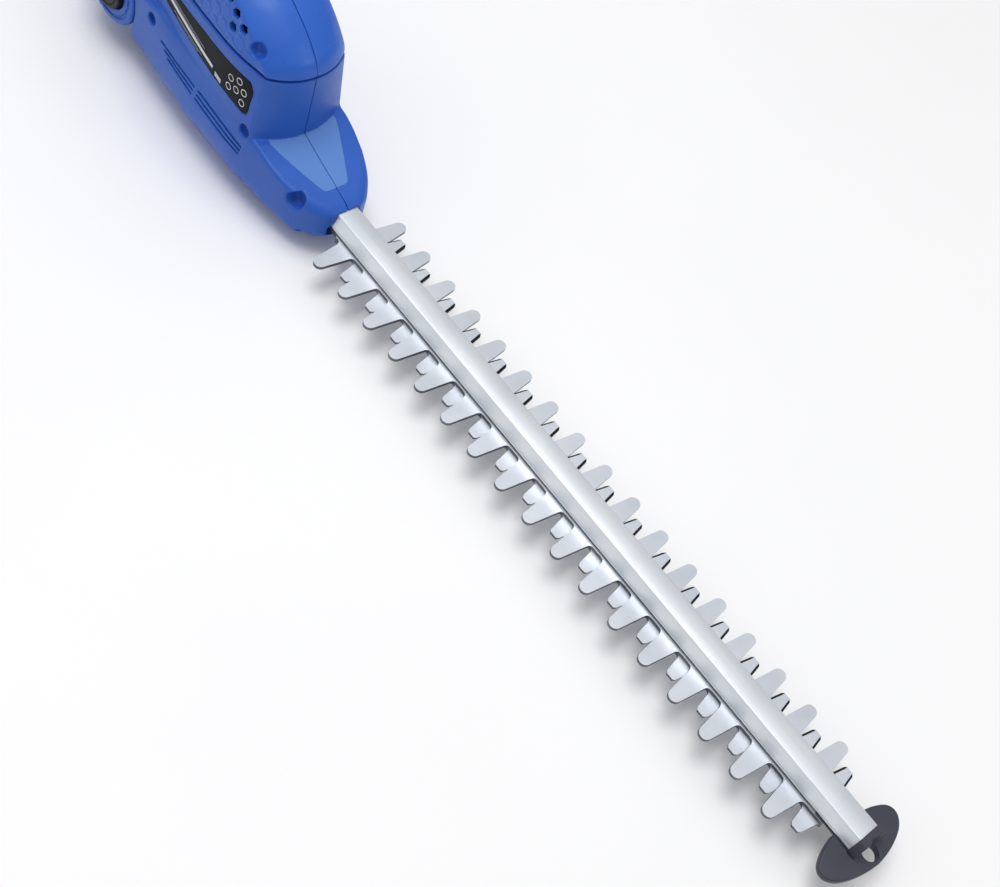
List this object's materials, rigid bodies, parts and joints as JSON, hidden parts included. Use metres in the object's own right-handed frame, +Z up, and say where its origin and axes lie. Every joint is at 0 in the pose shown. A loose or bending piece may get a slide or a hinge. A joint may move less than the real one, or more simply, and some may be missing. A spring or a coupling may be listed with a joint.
{
  "type": "long-reach hedge trimmer",
  "caption": "Long-reach electric hedge trimmer: blue motor head with a double-sided dual-action blade, fish-tail tip guard, tilt joint, telescopic pole and trigger handle.",
  "frame": {"origin": "under the middle of the whole tool's box, on the level that its head and rear handle lie on", "axes": "+X along the tool towards the blade's tip, +Z up away from the surface it lies on, +Y to its left"},
  "size_m": [1.6514, 0.081, 0.1422],
  "materials": {
    "blue_plastic": "satin moulded plastic with a fine spark texture",
    "black_plastic": "fine-grained moulded plastic",
    "charcoal_plastic": "satin moulded plastic",
    "label_film": null,
    "bar_aluminium": "satin anodised extrusion",
    "tube_aluminium": "satin drawn tube",
    "black_tube": "black anodised tube",
    "blade_steel": "stamped and ground",
    "cast_metal": "die cast",
    "bright_steel": "turned and plated",
    "dark_steel": "black oxide and lamination steel",
    "copper": "lacquered windings and copper segments",
    "carbon": "pressed carbon",
    "nylon": "natural moulded nylon",
    "grip_foam": "closed-cell foam sleeve",
    "rubber": "soft moulded rubber"
  },
  "bodies": {
    "head": {"housing_left": "blue_plastic", "housing_right": "blue_plastic", "rating_label": "label_film", "nose_screw": "dark_steel", "nose_lower_screw": "dark_steel", "middle_screw": "dark_steel", "top_screw": "dark_steel", "rear_screw": "dark_steel", "rear_lower_screw": "dark_steel", "hinge_tongue": "cast_metal", "gearcase_base": "cast_metal", "gearcase_cover": "cast_metal", "blade_cover_plate": "bright_steel", "bar_screw_1": "bright_steel", "bar_screw_2": "bright_steel", "support_bar": "bar_aluminium", "slide_strip": "black_plastic", "blade_bolt_1": "bright_steel", "blade_bolt_2": "bright_steel", "blade_bolt_3": "bright_steel", "blade_bolt_4": "bright_steel", "tip_guard": "charcoal_plastic", "guard_screw": "bright_steel", "stator_core": "dark_steel", "field_winding_lower": "copper", "field_winding_upper": "copper", "lower_bearing": "bright_steel", "upper_bearing": "bright_steel", "carbon_brush_left": "carbon", "carbon_brush_right": "carbon", "brush_holder_left": "nylon", "brush_holder_right": "nylon"},
    "armature": {"armature_shaft": "bright_steel", "armature_core": "dark_steel", "commutator": "copper", "cooling_fan": "black_plastic", "motor_pinion": "dark_steel"},
    "crank": {"crank_gear": "bright_steel", "crank_axle": "bright_steel", "upper_eccentric": "bright_steel", "lower_eccentric": "bright_steel"},
    "upper_blade": {"upper_cutting_blade": "blade_steel"},
    "lower_blade": {"lower_cutting_blade": "blade_steel"},
    "pole_front": {"hinge_drum_left": "blue_plastic", "hinge_drum_right": "blue_plastic", "pivot_bolt": "bright_steel", "pivot_nut": "bright_steel", "button_spring": "bright_steel", "front_tube": "tube_aluminium"},
    "tilt_button": {"tilt_lock_button": "black_plastic"},
    "pole_rear": {"rear_tube": "black_tube", "foam_grip": "grip_foam", "strap_clamp": "black_plastic", "handle_left": "blue_plastic", "handle_right": "blue_plastic", "power_switch": "black_plastic", "cable_gland": "rubber"},
    "collar": {"length_lock_collar": "black_plastic"},
    "trigger": {"trigger": "black_plastic"},
    "lock_off": {"lock_off_button": "black_plastic"}
  },
  "joints": [
    {"name": "armature_spin", "type": "hinge", "parent": "head", "child": "armature", "pos_m": [0.2245, 0, 0.084], "axis": [0, 0, 1], "range_deg": [-362, 362]},
    {"name": "crank_turn", "type": "hinge", "parent": "head", "child": "crank", "pos_m": [0.2525, 0, 0.034], "axis": [0, 0, 1], "range_deg": [-62, 62]},
    {"name": "upper_blade_slide", "type": "slide", "parent": "head", "child": "upper_blade", "axis": [1, 0, 0], "range_m": [-0.00693, 0.00693]},
    {"name": "lower_blade_slide", "type": "slide", "parent": "head", "child": "lower_blade", "axis": [1, 0, 0], "range_m": [-0.00695, 0.00695]},
    {"name": "pole_tilt", "type": "hinge", "parent": "head", "child": "pole_front", "pos_m": [0.1145, 0, 0.046], "axis": [0, 1, 0], "range_deg": [-90, 45]},
    {"name": "tilt_button_press", "type": "slide", "parent": "pole_front", "child": "tilt_button", "axis": [0, 1, 0], "range_m": [0, 0.0035], "stiffness_N_per_m": 1500, "springref_m": -0.002, "deforming": ["button_spring"]},
    {"name": "pole_extend", "type": "slide", "parent": "pole_front", "child": "pole_rear", "axis": [-1, 0, 0], "range_m": [0, 0.38]},
    {"name": "collar_twist", "type": "hinge", "parent": "pole_rear", "child": "collar", "pos_m": [-0.0175, 0, 0.046], "axis": [1, 0, 0], "range_deg": [0, 90]},
    {"name": "trigger_pull", "type": "hinge", "parent": "pole_rear", "child": "trigger", "pos_m": [-0.6215, 0, 0.051], "axis": [0, 1, 0], "range_deg": [0, 9], "stiffness_Nm_per_rad": 1.5, "springref_deg": -6.88},
    {"name": "lock_off_press", "type": "slide", "parent": "pole_rear", "child": "lock_off", "axis": [0, 0, -1], "range_m": [0, 0.004], "stiffness_N_per_m": 800, "springref_m": -0.002}
  ],
  "couplings": [
    {"joint": "crank_turn", "follows": "upper_blade_slide", "rad_per_m": -151.14},
    {"joint": "armature_spin", "follows": "upper_blade_slide", "rad_per_m": 906.86},
    {"joint": "lower_blade_slide", "follows": "upper_blade_slide", "ratio": -1}
  ]
}
